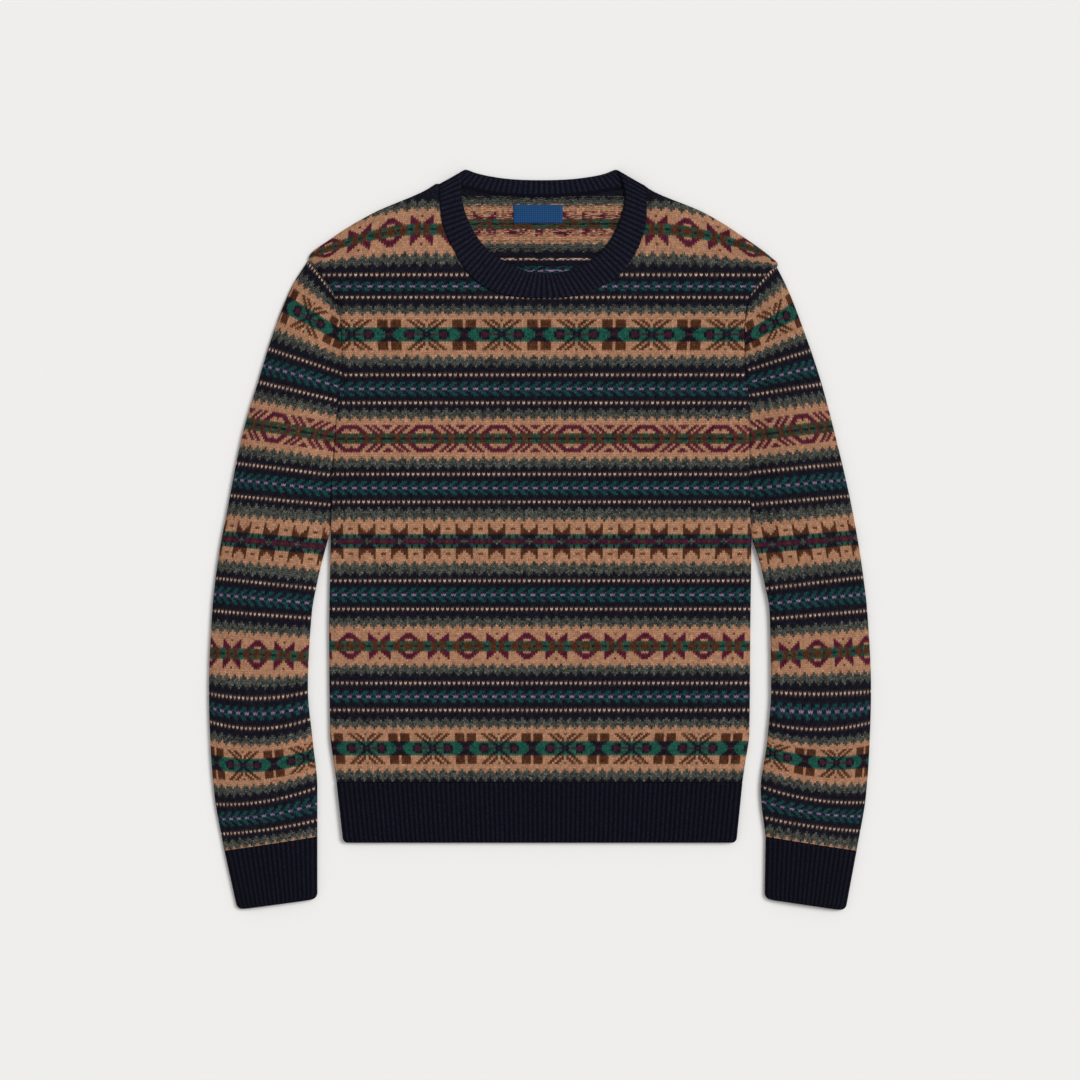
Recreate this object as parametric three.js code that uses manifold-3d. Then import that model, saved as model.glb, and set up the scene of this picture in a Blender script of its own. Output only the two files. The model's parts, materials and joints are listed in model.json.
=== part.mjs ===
// Fair isle crew neck jumper in lambswool, a men's size M, laid flat with its arms down.
// Millimetres. The origin is on the surface it lies on, at the middle of its plan.
// +Y runs to the neck and +Z up. The wearer's right is at -X, because the front faces up.
import * as THREE from 'three';
import { mergeVertices } from 'three/addons/utils/BufferGeometryUtils.js';
import Module from 'manifold-3d';

const wasm = await Module();
wasm.setup();

// Cloth
const wall = 2.6; // knitted lambswool, pressed flat
const seam = 0.3; // between pieces that are linked or sewn together
const frontFloor = wall + seam; // underside of the front, which lies on the back
const frontTop = frontFloor + wall;
const frontRise = 2; // soft rise of the front between its sides
const riseWidth = 40; // from a side to where the front has risen
const hemRise = 70; // from the hem rib to where the front has risen
const neckRise = { from: 240, to: 110 }; // the front settles again towards the neck
const edgeRounding = 1.3; // how far the front drops at its side folds
const roundingWidth = 9;
const ribRaise = 0.6;

// Hem
const hemJoinY = -245;
const hemEndY = -306;
const hemEndLeft = -199;
const hemEndRight = 198.5;
const hemRibs = 84;

// Flattened tubes
const foldHeight = 0.45; // of the tube's height, where its side folds are widest
const underTurn = 0.3; // of the tube's height, how far the folds turn in underneath
const bowGain = 2.6; // brings the sleeve head's curve to its full bow
const tubeGap = 0.2; // least space between the two layers
const sleeveSteps = 12; // columns across a sleeve

// Cuffs
const cuffHeight = 7.4;
const cuffEndHeight = 6.8;
const cuffRibs = 19;

// Neckband
const neckRibs = 66;
const foldRadius = wall / 2 + seam / 2;
const foldMiddle = wall + seam / 2;
const foldSteps = 5;
const backBandSteps = 24;
const neckCutSteps = 48;
const aboveNeck = 400;

// Neck label, woven, sewn to the inside of the back
const label = { left: -27, right: 23, low: 320, high: 339, thick: 0.6 };

const cutDepth = 60; // of the blocks that trim cloth
const underarmY = 0;

// The side edges of the front and back, from the hem join up: side seams, armholes, shoulders
const bodyEdge = [
  // y, right side of the wearer (-X), left side of the wearer (+X)
  [hemJoinY, -205.5, 204.5],
  [-227, -208, 207],
  [-195, -212, 211.5],
  [-91, -213, 212.5],
  [0, -211.5, 213.5],
  [41.5, -211, 212],
  [90, -208, 212],
  [127.5, -205, 212],
  [151.5, -202, 210.5],
  [175.5, -200, 207.5],
  [215, -201, 207],
  [246.5, -207, 212],
  [266.5, -220.5, 229.5],
  [279, -229.5, 240.5],
  [285, -233.5, 234.5],
  [306, -209, 206],
  [330.5, -168.5, 166.5],
  [354.5, -114, 111],
  [361, -104, 102.5],
].map(([y, left, right]) => ({ y, left, right }));

// Each sleeve in sections from the armhole down, by its outer and its inner edge.
// Bow is how far a section bulges towards the body, as the sleeve head does at the armhole.
const sleeveColumns = ([outerX, outerY, innerX, innerY, bow, height]) =>
  ({ outerX, outerY, innerX, innerY, bow, height });
const rightSleeve = [
  [-231.5, 287, -208, 2, 30, frontTop],
  [-250.5, 256.5, -210.5, -1, 26, 6.3],
  [-268.5, 212, -212, -3.5, 19, 7.2],
  [-285, 159.5, -214, -6.5, 13, 8.2],
  [-301, 105, -217, -11, 8, 9],
  [-315, 35.5, -221, -21, 4, 9],
  [-326, -25, -225.5, -42.5, 1, 9],
  [-331.5, -76, -230.5, -73.5, 0, 9],
  [-334.5, -151.5, -234.5, -149.5, 0, 9],
  [-333, -207, -229.5, -204, 0, 8.6],
  [-329, -257.5, -225, -249.5, 0, 8],
  [-319, -314, -225, -299.5, 0, cuffHeight],
].map(sleeveColumns);
const leftSleeve = [
  [237.5, 279.5, 210, 1, -30, frontTop],
  [250, 254.5, 212.5, -2, -26, 6.3],
  [266.5, 212, 214, -5, -19, 7.2],
  [283.5, 161.5, 216, -9, -13, 8.2],
  [299, 103, 218, -14, -8, 9],
  [314.5, 35.5, 222, -28.5, -4, 9],
  [325.5, -28.5, 226, -45.5, -1, 9],
  [331, -76, 231, -72.5, 0, 9],
  [334.5, -151.5, 233.5, -149.5, 0, 9],
  [333, -207, 229.5, -204, 0, 8.6],
  [329.5, -257.5, 223, -252.5, 0, 8],
  [320, -314, 228, -299.5, 0, cuffHeight],
].map(sleeveColumns);
const rightCuffEnd = { outerX: -306, outerY: -372.5, innerX: -225, innerY: -361.5 };
const leftCuffEnd = { outerX: 309, outerY: -373.5, innerX: 227, innerY: -361.5 };

// The neckband by its sewn edge and its free edge, over the front from one shoulder fold
// to the other, and back across the back of the neck
const bandColumns = ([seamX, seamY, freeX, freeY]) => ({ seamX, seamY, freeX, freeY });
const frontBand = [
  [-100.5, 360, -73.5, 370.5],
  [-101, 344.5, -79.5, 352.5],
  [-99, 322, -75, 329.5],
  [-87, 293, -64.5, 308],
  [-69.5, 266.5, -49.5, 290.5],
  [-47.5, 251.5, -29.5, 278],
  [-21, 245.5, -11, 271],
  [3, 244.5, 3, 270],
  [27.5, 245.5, 16, 270],
  [53.5, 252.5, 36.5, 275],
  [78, 266.5, 57.5, 288],
  [97, 291, 72.5, 306],
  [106.5, 319, 82.5, 329.5],
  [107.5, 341.5, 85.5, 351.5],
  [106, 357.5, 75, 370.5],
].map(bandColumns);
const backBand = [
  [106, 357.5, 75, 370.5],
  [83, 354.5, 57.5, 368.5],
  [50.5, 349.5, 34.5, 365.5],
  [3, 346.5, 3, 364],
  [-48.5, 349.5, -33.5, 366],
  [-77, 355.5, -56.5, 368.5],
  [-100.5, 360, -73.5, 370.5],
].map(bandColumns);

const point = (x, y, z) => new THREE.Vector3(x, y, z);
const mix = THREE.MathUtils.lerp;

// Closed solids from rows of points

function solidFrom(points, quads) {
  const geometry = new THREE.BufferGeometry();
  const places = points.flatMap((p) => [p.x, p.y, p.z]);
  geometry.setAttribute('position', new THREE.Float32BufferAttribute(places, 3));
  geometry.setIndex(quads.flatMap(([a, b, c, d]) => [a, b, c, a, c, d]));
  return volumeOf(geometry) > 0 ? geometry : turnedOut(geometry);
}

function volumeOf(geometry) {
  const at = geometry.attributes.position;
  const index = geometry.index.array;
  const corner = (i) => new THREE.Vector3().fromBufferAttribute(at, index[i]);
  let sum = 0;
  for (let i = 0; i < index.length; i += 3) {
    sum += corner(i).dot(corner(i + 1).cross(corner(i + 2)));
  }
  return sum / 6;
}

function turnedOut(geometry) {
  const index = geometry.index.array;
  for (let i = 0; i < index.length; i += 3) {
    [index[i], index[i + 1]] = [index[i + 1], index[i]];
  }
  return geometry;
}

// Joins each loop of points to the next; a round run joins its last loop to its first
function quadsAlong(loops, size, round, offset = 0) {
  const quads = [];
  const steps = round ? loops : loops - 1;
  for (let row = 0; row < steps; row += 1) {
    const here = offset + row * size;
    const next = offset + ((row + 1) % loops) * size;
    for (let i = 0; i < size; i += 1) {
      const j = (i + 1) % size;
      quads.push([here + i, here + j, next + j, next + i]);
    }
  }
  return quads;
}

// A wall given by rows, each row a line of top points over a line of underside points
function slab(rows) {
  const columns = rows[0].length;
  const size = columns * 2;
  const points = rows.flatMap((row) => [
    ...row.map((c) => point(c.x, c.y, c.top)),
    ...row.map((c) => point(c.x, c.y, c.low)).reverse(),
  ]);
  const quads = quadsAlong(rows.length, size, false);
  const last = (rows.length - 1) * size;
  for (let i = 0; i < columns - 1; i += 1) {
    const under = size - 1 - i;
    quads.push([i + 1, i, under, under - 1]);
    quads.push([last + i, last + i + 1, last + under - 1, last + under]);
  }
  return solidFrom(points, quads);
}

// A tube with a wall: each section has an outer and an inner loop of as many points
function tube(sections) {
  const size = sections[0].outer.length;
  const inside = sections.length * size;
  const points = [...sections.flatMap((s) => s.outer), ...sections.flatMap((s) => s.inner)];
  const quads = quadsAlong(sections.length, size, false);
  quadsAlong(sections.length, size, false, inside).forEach((q) => quads.push(q.reverse()));
  const last = (sections.length - 1) * size;
  for (let i = 0; i < size; i += 1) {
    const j = (i + 1) % size;
    quads.push([j, i, inside + i, inside + j]);
    quads.push([last + i, last + j, inside + last + j, inside + last + i]);
  }
  return solidFrom(points, quads);
}

// Cuts

function toManifold(geometry) {
  const bare = new THREE.BufferGeometry();
  bare.setAttribute('position', geometry.attributes.position.clone());
  if (geometry.index) bare.setIndex(geometry.index);
  const merged = mergeVertices(bare, 1e-4);
  return new wasm.Manifold(new wasm.Mesh({
    numProp: 3,
    vertProperties: new Float32Array(merged.attributes.position.array),
    triVerts: new Uint32Array(merged.index.array),
  }));
}

function fromManifold(solid) {
  const { vertProperties, triVerts } = solid.getMesh();
  const geometry = new THREE.BufferGeometry();
  geometry.setAttribute('position', new THREE.BufferAttribute(vertProperties, 3));
  geometry.setIndex(new THREE.BufferAttribute(triVerts, 1));
  return geometry;
}

// A tall block over an outline in plan, to cut cloth with
function cutter(outline) {
  const shape = new THREE.Shape(outline.map((p) => new THREE.Vector2(p.x, p.y)));
  const block = new THREE.ExtrudeGeometry(shape, { depth: cutDepth, bevelEnabled: false });
  block.deleteAttribute('normal');
  block.deleteAttribute('uv');
  return toManifold(block.translate(0, 0, -cutDepth / 2));
}

const cut = (geometry, outline) =>
  fromManifold(toManifold(geometry).subtract(cutter(outline)));

// Front and back

// How far in from a side each column of a panel is, where the side fold rounds off
const columnInsets = [0, 1.2, 3.5, 9, 26];

function panelColumns(edge) {
  const width = edge.right - edge.left;
  const middle = [0.25, 0.375, 0.5, 0.625, 0.75].map((part) => part * width);
  const near = columnInsets.map((inset) => Math.min(inset, width * 0.2 * (1 + inset / 100)));
  const far = near.map((inset) => width - inset).reverse();
  return [...near, ...middle, ...far];
}

// The front lies close to the back at the hem and the shoulders, and rises between them
function riseAlong(y) {
  const fromHem = THREE.MathUtils.smoothstep(y, hemJoinY, hemJoinY + hemRise);
  const fromNeck = 1 - THREE.MathUtils.smoothstep(y, neckRise.to, neckRise.from);
  return frontRise * fromHem * fromNeck;
}

function frontRow(edge) {
  const width = edge.right - edge.left;
  const rise = riseAlong(edge.y);
  return panelColumns(edge).map((along) => {
    const inset = Math.min(along, width - along);
    const bulge = rise * THREE.MathUtils.smoothstep(inset, 0, riseWidth);
    const toEdge = 1 - Math.min(inset / roundingWidth, 1);
    const drop = edgeRounding * (1 - Math.sqrt(1 - toEdge ** 2));
    return {
      x: edge.left + along, y: edge.y, top: frontTop + bulge - drop, low: frontFloor + bulge,
    };
  });
}

const backRow = (edge) => panelColumns(edge)
  .map((along) => ({ x: edge.left + along, y: edge.y, top: wall, low: 0 }));

// Neckband

// A smooth run through a table's rows
function runThrough(table, steps) {
  const curve = (x, y) => new THREE.CatmullRomCurve3(table.map((row) => point(row[x], row[y], 0)));
  const sewn = curve('seamX', 'seamY');
  const free = curve('freeX', 'freeY');
  return Array.from({ length: steps + 1 }, (unused, i) => {
    const s = sewn.getPoint(i / steps);
    const f = free.getPoint(i / steps);
    return { seamX: s.x, seamY: s.y, freeX: f.x, freeY: f.y };
  });
}

// Which way the band's fold stands out, square to the fold line and away from the neck
function foldOutward(fold) {
  const along = point(fold.freeX - fold.seamX, fold.freeY - fold.seamY, 0).normalize();
  const across = point(-along.y, along.x, 0);
  return across.y > 0 ? across : across.negate();
}

// One section of the band: turn is 0 on the front, a half turn on the back
function bandSection(row, turn, outward, raise) {
  const facing = point(0, 0, Math.cos(turn)).addScaledVector(outward, Math.sin(turn));
  const middle = point(0, 0, foldMiddle).addScaledVector(facing, foldRadius);
  const sewn = point(row.seamX, row.seamY, 0).add(middle);
  const free = point(row.freeX, row.freeY, 0).add(middle);
  return [
    sewn.clone().addScaledVector(facing, wall / 2 + raise),
    free.clone().addScaledVector(facing, wall / 2 + raise),
    free.clone().addScaledVector(facing, -wall / 2),
    sewn.clone().addScaledVector(facing, -wall / 2),
  ];
}

function foldSections(fold, fromTurn, toTurn) {
  const outward = foldOutward(fold);
  return Array.from({ length: foldSteps }, (unused, i) => {
    const turn = mix(fromTurn, toTurn, (i + 1) / (foldSteps + 1));
    return bandSection(fold, turn, outward, 0);
  });
}

function neckband() {
  const flat = point(0, 0, 0);
  const front = runThrough(frontBand, neckRibs * 2)
    .map((row, i) => bandSection(row, 0, flat, i % 2 ? ribRaise : 0));
  const back = runThrough(backBand, backBandSteps).map((row) => bandSection(row, Math.PI, flat, 0));
  const sections = [
    ...front,
    ...foldSections(backBand[0], 0, Math.PI),
    ...back,
    ...foldSections(frontBand[0], Math.PI, 0),
  ];
  return solidFrom(sections.flat(), quadsAlong(sections.length, 4, true));
}

// The ground that the band takes up, with the seam's gap, closed far above the neck
function neckOutline(table) {
  const run = runThrough(table, neckCutSteps);
  const ordered = run[0].seamX < run.at(-1).seamX ? run : run.reverse();
  const sewn = ordered.map((row) => {
    const away = point(row.seamX - row.freeX, row.seamY - row.freeY, 0).normalize();
    return point(row.seamX, row.seamY, 0).addScaledVector(away, seam);
  });
  const corner = (fold, name) => point(fold[`${name}X`], fold[`${name}Y`], 0)
    .addScaledVector(foldOutward(fold), foldRadius + wall / 2 + ribRaise + seam);
  const first = ordered[0];
  const last = ordered.at(-1);
  return [
    corner(first, 'seam'), ...sewn, corner(last, 'seam'), corner(last, 'free'),
    point(last.freeX, aboveNeck, 0), point(first.freeX, aboveNeck, 0), corner(first, 'free'),
  ];
}

// Sleeves and cuffs

// Height of a flattened tube across its width, round at both folds
const dome = (across) => Math.sqrt(1 - Math.abs(2 * across - 1) ** 3);

// A flattened tube's section, from its outer edge to its inner edge and back underneath.
// Both folds turn in to a flat underside, where the tube rests.
function flatSection(line, columns, height, raiseAt) {
  const fold = height * foldHeight;
  const space = Math.max(height - 2 * wall - tubeGap, 0);
  const outer = [];
  const inner = [];
  const inset = (across) => mix(line.inset, 1 - line.inset, across);
  columns.forEach((across, i) => {
    const top = mix(fold, height, dome(across)) + raiseAt(i);
    outer.push(line(across).setZ(top));
    inner.push(line(inset(across)).setZ(wall + tubeGap + space * dome(across)));
  });
  [...columns].reverse().forEach((across) => {
    outer.push(line(mix(line.turn, 1 - line.turn, across)).setZ(0));
    inner.push(line(inset(across)).setZ(wall));
  });
  return { outer, inner };
}

// The line that a section follows in plan. Its bow is strongest near the shoulder.
function sectionLine(row, bow, height) {
  const width = Math.hypot(row.outerX - row.innerX, row.outerY - row.innerY);
  const bulge = (across) => bow * bowGain * Math.sqrt(across) * (1 - across);
  const line = (across) => point(
    mix(row.outerX, row.innerX, across) + bulge(across),
    mix(row.outerY, row.innerY, across),
    0,
  );
  line.inset = wall / width;
  line.turn = height * underTurn / width;
  return line;
}

// Columns across a sleeve, closer together at its folds
const acrossSleeve = Array.from({ length: sleeveSteps + 1 },
  (unused, i) => (1 - Math.cos(Math.PI * i / sleeveSteps)) / 2);
const plain = () => 0;

// The body's ground beside one armhole, with the seam's gap
function bodyOutline(side) {
  const towards = side === 'left' ? -1 : 1;
  const beside = bodyEdge.filter((edge) => edge.y > underarmY - 100);
  const armhole = beside.map((edge) => point(edge[side] + towards * seam * 1.4, edge.y, 0));
  const outline = [point(0, beside[0].y, 0), ...armhole, point(0, beside.at(-1).y, 0)];
  return towards > 0 ? outline : outline.reverse();
}

function sleeve(table, side) {
  const sections = table.map((row) =>
    flatSection(sectionLine(row, row.bow, row.height), acrossSleeve, row.height, plain));
  return cut(tube(sections), bodyOutline(side));
}

// A cuff goes on from its sleeve's last section, a seam's gap below it
function cuff(sleeveEnd, end) {
  const step = seam / Math.abs(sleeveEnd.outerY - end.outerY);
  const start = Object.fromEntries(
    Object.keys(end).map((key) => [key, mix(sleeveEnd[key], end[key], step)]),
  );
  const across = Array.from({ length: cuffRibs * 2 + 1 }, (unused, i) => i / (cuffRibs * 2));
  const raised = (i) => (i % 2 ? ribRaise : 0);
  return tube([
    flatSection(sectionLine(start, 0, cuffHeight), across, cuffHeight, raised),
    flatSection(sectionLine(end, 0, cuffEndHeight), across, cuffEndHeight, raised),
  ]);
}

// Hem rib

function hemRow(y, left, right, columns, low, top, raise) {
  return Array.from({ length: columns + 1 }, (unused, i) => {
    const inset = Math.min(i, columns - i) / columns * (right - left);
    const drop = top > frontFloor ? edgeRounding * Math.max(0, 1 - inset / 6) ** 2 : 0;
    return { x: mix(left, right, i / columns), y, low, top: top - drop + (i % 2 ? raise : 0) };
  });
}

function hem(columns, low, raise) {
  const { left, right } = bodyEdge[0];
  return slab([
    hemRow(hemEndY, hemEndLeft, hemEndRight, columns, low, low + wall, raise),
    hemRow(hemJoinY - seam, left, right, columns, low, low + wall, raise),
  ]);
}

// Neck label, on the inside of the back

function labelSolid() {
  const low = wall + seam;
  const row = (y) => [label.left, label.right].map((x) => ({ x, y, low, top: low + label.thick }));
  return slab([row(label.low), row(label.high)]);
}

// The jumper

const yarn = {
  body: new THREE.MeshStandardMaterial({ color: 0x6b5a4a, roughness: 0.95, metalness: 0 }),
  inside: new THREE.MeshStandardMaterial({ color: 0x54483f, roughness: 0.95, metalness: 0 }),
  rib: new THREE.MeshStandardMaterial({ color: 0x15151f, roughness: 0.95, metalness: 0 }),
  label: new THREE.MeshStandardMaterial({ color: 0x1f4e86, roughness: 0.7, metalness: 0 }),
};

const jumper = new THREE.Group();

function add(name, geometry, material) {
  const mesh = new THREE.Mesh(geometry, material);
  mesh.name = name;
  jumper.add(mesh);
}

add('back', cut(slab(bodyEdge.map(backRow)), neckOutline(backBand)), yarn.inside);
add('front', cut(slab(bodyEdge.map(frontRow)), neckOutline(frontBand)), yarn.body);
add('hem_rib_back', hem(8, 0, 0), yarn.rib);
add('hem_rib_front', hem(hemRibs * 2, frontFloor, ribRaise), yarn.rib);
add('neckband', neckband(), yarn.rib);
add('sleeve_right', sleeve(rightSleeve, 'left'), yarn.body);
add('sleeve_left', sleeve(leftSleeve, 'right'), yarn.body);
add('cuff_right', cuff(rightSleeve.at(-1), rightCuffEnd), yarn.rib);
add('cuff_left', cuff(leftSleeve.at(-1), leftCuffEnd), yarn.rib);
add('neck_label', labelSolid(), yarn.label);

export default jumper;
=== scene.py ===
# Fair isle crew neck jumper in lambswool, laid flat with its arms down. Tables are in millimetres.
import json
import math
import bmesh
import bpy
import numpy as np
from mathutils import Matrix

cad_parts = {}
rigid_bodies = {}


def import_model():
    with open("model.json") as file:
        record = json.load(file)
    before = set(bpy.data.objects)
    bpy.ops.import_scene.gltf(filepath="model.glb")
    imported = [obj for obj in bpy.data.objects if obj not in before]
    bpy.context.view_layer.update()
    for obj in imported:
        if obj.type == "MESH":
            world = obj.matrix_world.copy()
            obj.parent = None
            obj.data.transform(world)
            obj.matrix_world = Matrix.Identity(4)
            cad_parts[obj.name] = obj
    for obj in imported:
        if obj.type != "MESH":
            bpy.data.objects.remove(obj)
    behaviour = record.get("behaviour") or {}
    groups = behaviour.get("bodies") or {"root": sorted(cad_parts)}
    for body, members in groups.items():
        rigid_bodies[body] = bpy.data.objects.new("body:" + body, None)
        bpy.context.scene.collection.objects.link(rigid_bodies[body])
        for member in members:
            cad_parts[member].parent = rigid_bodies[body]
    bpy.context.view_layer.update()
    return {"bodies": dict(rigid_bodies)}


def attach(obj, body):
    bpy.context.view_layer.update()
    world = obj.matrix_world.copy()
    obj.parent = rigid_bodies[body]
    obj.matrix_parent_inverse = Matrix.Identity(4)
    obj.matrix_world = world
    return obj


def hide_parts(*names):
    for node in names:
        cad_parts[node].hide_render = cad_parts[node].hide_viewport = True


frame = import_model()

root = next(iter(frame["bodies"]))
random = np.random.default_rng(11)

# The cloth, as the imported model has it
cloth = {
    "wall": 2.6,
    "seam": 0.3,
    "floor": 0.15,        # the underside stands this high
    "lowest": 0.1,        # and no rib goes lower than this
    "foldAt": 0.45,       # share of a sleeve's height at which its fold stands
    "foldIn": 0.3,        # and how far in the fold turns underneath
    "edgeRounding": 1.3,
    "chevron": 0.55,      # how far a stitch's arms stand above its foot, in courses
}
frontFloor = cloth["wall"] + cloth["seam"]
frontTop = frontFloor + cloth["wall"]


# Small helpers

def mix(first, last, share):
    return first + (last - first) * share


def smoothstep(value, low, high):
    t = np.clip((value - low) / (high - low), 0, 1)
    return t * t * (3 - 2 * t)


def hermite(x, y, slope, at):
    # The curve through points that has given slopes at them
    i = np.clip(np.searchsorted(x, at, side="right") - 1, 0, len(x) - 2)
    step = x[i + 1] - x[i]
    t = (at - x[i]) / step
    return (y[i] * (1 + 2 * t) * (1 - t) ** 2 + slope[i] * step * t * (1 - t) ** 2
            + y[i + 1] * t * t * (3 - 2 * t) + slope[i + 1] * step * t * t * (t - 1))


def readOff(table, i, at):
    # Column i of a table against its first, on a smooth curve that never swings past its points
    x, y = (np.array([row[k] for row in table], float) for k in (0, i))
    step = np.diff(x)
    slope = np.diff(y) / step
    before, after = step[:-1] + 2 * step[1:], 2 * step[:-1] + step[1:]
    turning = slope[:-1] * slope[1:] <= 0
    low = np.where(turning, 1.0, slope[:-1])
    high = np.where(turning, 1.0, slope[1:])
    tangent = np.concatenate([slope[:1], (before + after) / (before / low + after / high), slope[-1:]])
    tangent[1:-1][turning] = 0
    beyond = np.minimum(at - x[0], 0) * slope[0] + np.maximum(at - x[-1], 0) * slope[-1]
    return hermite(x, y, tangent, np.clip(at, x[0], x[-1])) + beyond


def nearestOn(line, places):
    # For each place, the nearest point of a run of points and how far off it is
    start, end = line[:-1], line[1:]
    best = np.full(len(places), np.inf)
    found = np.zeros_like(places)
    for a, b in zip(start, end):
        along = b - a
        share = np.clip(((places - a) @ along) / max(along @ along, 1e-9), 0, 1)
        point = a + share[:, None] * along
        off = np.hypot(*(places - point).T)
        closer = off < best
        best[closer], found[closer] = off[closer], point[closer]
    return found, best


def insideOf(outline, places):
    # Whether each place lies inside a closed outline
    x, y = places.T
    inside = np.zeros(len(places), bool)
    for (ax, ay), (bx, by) in zip(outline, np.roll(outline, -1, axis=0)):
        if ay == by:
            continue
        crosses = (ay > y) != (by > y)
        inside ^= crosses & (x < ax + (y - ay) * (bx - ax) / (by - ay))
    return inside


# Yarns and their charts

# Lambswool spun from dyed fibres: each yarn has a main colour and flecks of a second one,
# and how much one stitch differs from the next. A marl is carded least evenly.
yarns = {
    "N": ("#13121b", "#232230", 0.2),  # navy
    "A": ("#353733", "#74766d", 0.3),  # grey marl
    "C": ("#a8775a", "#d2a686", 0.1),  # camel
    "B": ("#49291b", "#694129", 0.16),  # brown
    "R": ("#4c142a", "#6a243e", 0.14),  # burgundy
    "G": ("#1a4b40", "#2c6b58", 0.16),  # emerald
    "M": ("#28402f", "#455844", 0.2),  # moss
    "H": ("#143f40", "#22595a", 0.16),  # bottle green
    "L": ("#7a6989", "#a090ac", 0.12),  # lavender
    "P": ("#c09c87", "#dfc6b4", 0.16),  # pink camel
    "V": ("#391827", "#54303f", 0.16),  # plum
}
yarnOrder = list(yarns)
yarnBase, yarnFleck, unevenness = zip(*yarns.values())

# Half charts, from the middle course outwards, each from the middle stitch to half a repeat
charts = {
    "crossAndBlock": {"repeat": 28, "rows": [
        "VVGGGGNVVVVVVNV", "NNGGGGNVVNGGGNN", "NNNGGGGNNNGGNNG", "NNNNGGGGGGGNNGG",
        "CBBBBCCCCCBBCBC", "CBBBBCCCCBBCBBC", "CBBBBCCCBBCBBCC", "CBBBBCCBBCBBCCB"]},
    "ovals": {"repeat": 29, "rows": [
        "NNBNNNRRNNBBNNN", "MMBMMMBBMMBMBMM", "MMBMMBBMMMBBBMM", "CCCCRRRCCRRCRRC",
        "RCCRRRCCRRCRRCC", "RRRRRCCRRCRRCCR", "RRRRCCRRCRRCCRR"]},
    "comb": {"repeat": 13, "rows": [
        "AAVRRRB", "ANVVNVV", "NNNGGNG", "NNNNGNG", "BBBBCCC", "CBBBCCC", "CCBBCCB", "CCCBCCC", "CCCBCCC"]},
    "crossAndRing": {"repeat": 24, "rows": [
        "NBBBNNBBBNBBB", "GBBGGGBBBMMBB", "GBBBGGGBBMMMM", "CRRRRCCCRRRCC",
        "CCRRRCCCCRRRR", "CCCRRCCCCCRRR", "RCCCRCCCCCCRR"]},
    "herringbone": {"repeat": 4, "rows": ["LLNN", "NNHH", "HNNH", "HHNN"]},
    "smallHerringbone": {"repeat": 4, "rows": ["LLNN", "NNHH", "HNNH"]},
    "plain": {"repeat": 4, "rows": ["NNNN"] * 10},
}
# The bands run into one another by a zigzag on each side of a plain course or two
camelToGrey = ["CCCC", "CCCC", "CCAC", "CAAA"]
greyToNavy = ["AAAA", "AAAA", "AANA", "ANNN"]
dots = ["PNPN"]
tails = {
    "crossAndBlock": camelToGrey + greyToNavy + ["NNNN"] * 3 + dots,
    "ovals": camelToGrey + greyToNavy + ["NNNN"] * 2 + dots,
    "comb": camelToGrey[1:] + ["AAAA"] + greyToNavy + ["NNNN"] * 2 + dots,
    "crossAndRing": camelToGrey + greyToNavy + ["NNNN"] * 3 + dots,
    "herringbone": [], "smallHerringbone": [], "plain": [],
}


def chartStitch(name, k, across):
    chart = charts[name]
    if k >= len(chart["rows"]):
        return tails[name][k - len(chart["rows"])][across % 4]
    row, repeat = chart["rows"][k], chart["repeat"]
    place = across % repeat
    return row[place] if repeat == 4 else row[min(place, repeat - place)]


def chartGrid(bands, courses, reach):
    # The yarn of every stitch: courses up from the rib, columns from -reach to reach
    grid = np.zeros((courses, 2 * reach + 1), int)
    for course, name, phase, way in bands:
        for k in range(len(charts[name]["rows"]) + len(tails[name])):
            for row in {course - k, course + k}:
                if 0 <= row < courses:
                    for i in range(-reach, reach + 1):
                        across = {"plain": i - phase, "mirrored": abs(i) - phase, "turned": phase - i}[way]
                        grid[row, i + reach] = yarnOrder.index(chartStitch(name, k, across))
    return grid


floatShare = 0.55  # of the stitches at the back have a float lying over them


def wrongSide(grid):
    # Two rows for each course: its purl bumps, then the floats of the yarn that rests
    behind = np.repeat(grid, 2, axis=0)
    for j, row in enumerate(grid):
        kinds, counts = np.unique(row, return_counts=True)
        if len(kinds) < 2:
            continue
        first, second = kinds[np.argsort(counts)[::-1][:2]]
        carried = np.where(row == first, second, first)
        floats = random.random(len(row)) < floatShare
        behind[2 * j + 1] = np.where(floats, carried, row)
    return behind


# Materials

def linear(hexColour):
    parts = [int(hexColour[i:i + 2], 16) / 255 for i in (1, 3, 5)]
    return [p / 12.92 if p <= 0.04045 else ((p + 0.055) / 1.055) ** 2.4 for p in parts] + [1.0]


def addNode(tree, kind, settings=None, inputs=None):
    node = tree.nodes.new("ShaderNode" + kind)
    for key, value in (settings or {}).items():
        setattr(node, key, value)
    for key, value in (inputs or {}).items():
        if isinstance(value, bpy.types.NodeSocket):
            tree.links.new(value, node.inputs[key])
        else:
            node.inputs[key].default_value = value
    return node


def newMaterial(name):
    material = bpy.data.materials.new(name)
    material.use_nodes = True
    material.node_tree.nodes.clear()
    return material, material.node_tree


rampSteps = 16  # more than there are yarns


def stepRamp(tree, colours, place):
    # One plain colour for each yarn number
    ramp = addNode(tree, "ValToRGB", inputs={"Fac": place})
    ramp.color_ramp.interpolation = "CONSTANT"
    stops = ramp.color_ramp.elements
    for i, colour in enumerate(colours):
        stop = stops[i] if i < 2 else stops.new(i / rampSteps)
        stop.position = i / rampSteps
        stop.color = linear(colour)
    return ramp.outputs["Color"]


wool = {
    "fleck": 0.9,        # mm, length of a tuft of the second colour in the heather
    "wisp": 1.1,         # mm, length of the stray fibres of the nap
    "fibre": 0.35,       # mm, drawn coarser than a 0.02 mm wool fibre so that it shows
    "stitchDepth": 0.7,  # mm, from a stitch's arm down to the gap beside it
    # painted shade: how much darker the gaps between stitches are drawn
    "gapShade": 0.62,      # how dark the gaps between stitches are
}


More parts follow.
